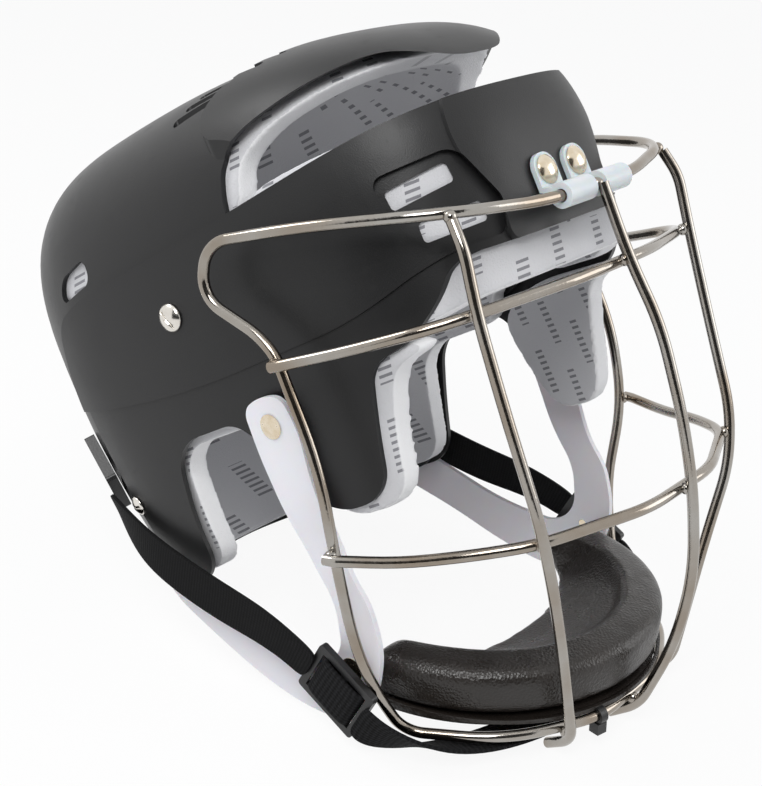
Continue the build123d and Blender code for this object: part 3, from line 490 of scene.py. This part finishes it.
def band(name, stations, thickness, material, body, nodes):
    """A flat strap through stations, each a middle point, a width direction and a width."""
    shape = bmesh.new()
    strap_uv = shape.loops.layers.uv.new("strap")
    last = len(stations) - 1
    bmesh.ops.create_grid(shape, x_segments=3, y_segments=last, size=0.5)
    lengths = [0.0]
    for before, after in zip(stations, stations[1:]):
        lengths.append(lengths[-1] + (Vector(after[0]) - Vector(before[0])).length)
    for face in shape.faces:
        for loop in face.loops:
            row = round((loop.vert.co.y + 0.5) * last)
            loop[strap_uv].uv = (loop.vert.co.x * stations[row][2], lengths[row])
    for vert in shape.verts:
        middle, across, width = stations[round((vert.co.y + 0.5) * last)]
        vert.co = Vector(middle) + Vector(across).normalized() * (vert.co.x * width)
    mesh = bpy.data.meshes.new(name)
    shape.to_mesh(mesh)
    shape.free()
    mesh.materials.append(material)
    mesh.shade_smooth()
    strap = bpy.data.objects.new(name, mesh)
    scene.collection.objects.link(strap)
    bent = strap.modifiers.new("bent", "SUBSURF")
    bent.levels = bent.render_levels = 3
    thick = strap.modifiers.new("thick", "SOLIDIFY")
    thick.thickness, thick.offset = thickness, 0.0
    edge = strap.modifiers.new("edge", "BEVEL")
    edge.width, edge.segments, edge.limit_method = thickness * 0.3, 2, "ANGLE"
    done = bpy.data.meshes.new_from_object(strap.evaluated_get(bpy.context.evaluated_depsgraph_get()))
    strap.modifiers.clear()
    strap.data = done
    if nodes:
        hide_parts(*nodes)
    if body:
        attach(strap, body)
    return strap


strap_width, strap_thickness = 0.019, 0.0016
for side, hand in ((1, "left"), (-1, "right")):
    elastic_run = (
        ((0.0835, 0.0765, 0.0527), (0.48, -0.108, 0.868), strap_width),
        ((0.0915, 0.0511, 0.0450), (0.10, -0.200, 0.972), strap_width),
        ((0.0936, 0.0249, 0.0409), (0.00, -0.133, 0.991), strap_width),
        ((0.0940, -0.0030, 0.0377), (0.00, -0.100, 0.999), strap_width),
        ((0.0950, -0.0249, 0.0375), (0.00, -0.200, 0.980), 0.0175),
        ((0.0962, -0.0440, 0.0345), (0.00, -0.350, 0.930), 0.0150),
        ((0.0965, -0.0546, 0.0307), (0.00, -0.445, 0.896), 0.0150),
    )
    stations = [((side * x, y, z), (side * a, b, c), width) for (x, y, z), (a, b, c), width in elastic_run]
    elastic = band("elastic_band_" + hand, stations, strap_thickness, elastic_black, None,
                   ["elastic_strap_" + hand])
    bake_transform(elastic)

webbing_half = (
    ((0.0966, -0.0802, 0.0180), (0.0, 0.445, -0.896), strap_width),
    ((0.0954, -0.0880, 0.0125), (-0.13, 0.431, -0.893), strap_width),
    ((0.0780, -0.1091, 0.0068), (-0.543, 0.773, -0.328), strap_width),
    ((0.0500, -0.1225, 0.0063), (-0.38, 0.92, -0.097), strap_width),
    ((0.0250, -0.1308, 0.0092), (-0.218, 0.974, -0.055), strap_width),
    ((0.0, -0.1334, 0.0104), (0.0, 0.998, -0.058), strap_width),
)
mirrored = [((-x, y, z), (-a, b, c), width) for (x, y, z), (a, b, c), width in webbing_half[:-1]]
band("chin_band", list(webbing_half) + mirrored[::-1], strap_thickness, webbing_black, "guard",
     ["chin_webbing"])

# Ribbed webbing wound round the middle bar of each adjuster, filling its two windows. Its
# run is in millimetres, along the adjuster and outward from it.
glide_middle = Vector((0.0924, -0.0674, 0.0244))
glide_along = Vector((0.0, 0.8957, 0.4446))
glide_across = (0.0, 0.4446, -0.8957)
loop_run = ((0.0, -1.1), (-8.6, -1.1), (-11.3, 0.2), (-11.3, 2.8), (-8.6, 4.1), (0.0, 4.1),
            (8.6, 4.1), (11.3, 2.8), (11.3, 0.2), (8.6, -1.1), (0.1, -1.1))
for side, hand in ((1, "left"), (-1, "right")):
    stations = []
    for along, out in loop_run:
        middle = glide_middle + glide_along * (along / 1000) + Vector((out / 1000, 0.0, 0.0))
        stations.append(((side * middle.x, middle.y, middle.z), glide_across, strap_width))
    band("adjuster_webbing_" + hand, stations, strap_thickness, webbing_black, "shell",
         ["webbing_loop_" + hand])


# Chin cup: a padded crescent of soft dark leather over foam, stitched to a flat leather
# base that is tied to the guard's bottom wire.
leather_dark, surface, tree, place = new_finish("leather_dark", 0.34, Specular_IOR_Level=0.5)
pebble = tree.node("ShaderNodeTexVoronoi", {}, {"Vector": place, "Scale": 900.0})
crease = tree.noise(place, 90.0, 6.0)
shade = tree.noise(place, 30.0, 4.0)
join(surface,
     Base_Color=tree.between(shade, (0.009, 0.0075, 0.0065), (0.028, 0.022, 0.018)),
     Roughness=tree.ranged(crease, 0.3, 0.7, 0.24, 0.4),
     Normal=tree.bump(pebble * 0.6 + crease * 0.6, 0.00035))
coat(leather_dark, "chin_cup_base")


chin_middle = Vector((0.0, -0.0932, 0.0117))
chin_up = Vector((0.0, 0.0576, 0.9983))
chin_forward = Vector((0.0, -0.9983, 0.0576))
# The picture's roll is lower than the solid, so its height above its foot is pressed to a share
roll_low, roll_press = 0.0053, 0.68
# The lining in millimetres: a round outer edge inside the roll, set back from the cup's
# middle, and a flatter inner edge under the throat, from which it rises in a curve
lining_turn, lining_round, lining_back = 190.0, 62.0, 21.0
throat_half, throat_round = 58.0, 111.0
lining_foot, lining_rise, lining_curve = 7.0, 19.0, 1.4
lining_thickness, millimetre = 0.005, 0.001


def add_lining(shape, steps=48, strips=6):
    """The cup's inner lining, from inside the roll down to the edge under the throat."""
    made = bmesh.ops.create_grid(shape, x_segments=strips, y_segments=steps, size=0.5)
    for vert in made["verts"]:
        turn, share = math.radians(lining_turn * vert.co.y), vert.co.x + 0.5
        outer = Vector((lining_round * math.sin(turn), lining_round * math.cos(turn) - lining_back))
        inner_x = throat_half * math.sin(turn)
        inner = Vector((inner_x, math.sqrt(throat_round**2 - inner_x**2) - throat_round))
        across, forward = inner.lerp(outer, share)
        rise = lining_foot + lining_rise * share**lining_curve
        vert.co = chin_middle + Vector((across, 0, 0)) * millimetre
        vert.co += chin_forward * (forward * millimetre) + chin_up * (rise * millimetre)
    faces = list({face for vert in made["verts"] for face in vert.link_faces})
    bmesh.ops.recalc_face_normals(shape, faces=faces)
    bmesh.ops.solidify(shape, geom=faces, thickness=lining_thickness)


def leather_pillow(node, body, voxel, round_steps, pressure, blow_steps, reach):
    """A lined leather form from its solid, pressed lower and blown up as cloth within a reach."""
    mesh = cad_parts[node].data.copy()
    mesh.materials.clear()
    pillow = bpy.data.objects.new(node + "_leather", mesh)
    scene.collection.objects.link(pillow)
    shape = bmesh.new()
    shape.from_mesh(mesh)
    bmesh.ops.remove_doubles(shape, verts=shape.verts, dist=0.00002)
    add_lining(shape)
    shape.to_mesh(mesh)
    shape.free()
    remesh = pillow.modifiers.new("even", "REMESH")
    remesh.mode, remesh.voxel_size = "VOXEL", voxel
    smooth = pillow.modifiers.new("rounded", "SMOOTH")
    smooth.factor, smooth.iterations = 0.5, round_steps
    depsgraph = bpy.context.evaluated_depsgraph_get()
    start = bpy.data.meshes.new_from_object(pillow.evaluated_get(depsgraph))
    pillow.modifiers.clear()
    pillow.data = start
    for vert in start.vertices:
        rise = (vert.co - chin_middle).dot(chin_up) - roll_low
        vert.co -= chin_up * (rise * (1.0 - roll_press))
    cloth = pillow.modifiers.new("stuffed", "CLOTH")
    cloth.settings.use_pressure = True
    cloth.settings.uniform_pressure_force = pressure
    cloth.settings.effector_weights.gravity = 0.0
    cloth.settings.mass = 0.2
    for step in range(1, blow_steps + 1):
        scene.frame_set(step)
    depsgraph = bpy.context.evaluated_depsgraph_get()
    blown = bpy.data.meshes.new_from_object(pillow.evaluated_get(depsgraph))
    for held, moved in zip(start.vertices, blown.vertices):
        shift = moved.co - held.co
        if shift.length > reach:
            shift *= reach / shift.length
        held.co += shift
    pillow.modifiers.clear()
    scene.frame_set(1)
    start.materials.append(leather_dark)
    start.shade_smooth()
    fine = pillow.modifiers.new("fine", "SUBSURF")
    fine.levels = fine.render_levels = 1
    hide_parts(node)
    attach(pillow, body)


leather_pillow("chin_cup_pad", "guard", voxel=0.0022, round_steps=14, pressure=4.0, blow_steps=20,
               reach=0.002)

# The welt round the foot of the roll, where its leather is sewn to the base.
welt_centre = chin_middle + Vector((0.0, 0.021, 0.0))
welt_points, welt_start, welt_turn = 41, -88.0, 4.4
welt_round, welt_rise, welt_width, welt_thickness = 0.0785, 0.0068, 0.0018, 0.0016
welt = []
for step in range(welt_points):
    turn = math.radians(welt_start + welt_turn * step)
    out = Vector((math.sin(turn), -math.cos(turn), 0.0))
    welt.append((welt_centre + out * welt_round + chin_up * welt_rise, chin_up, welt_width))
band("cup_welt", welt, welt_thickness, leather_dark, "guard", [])
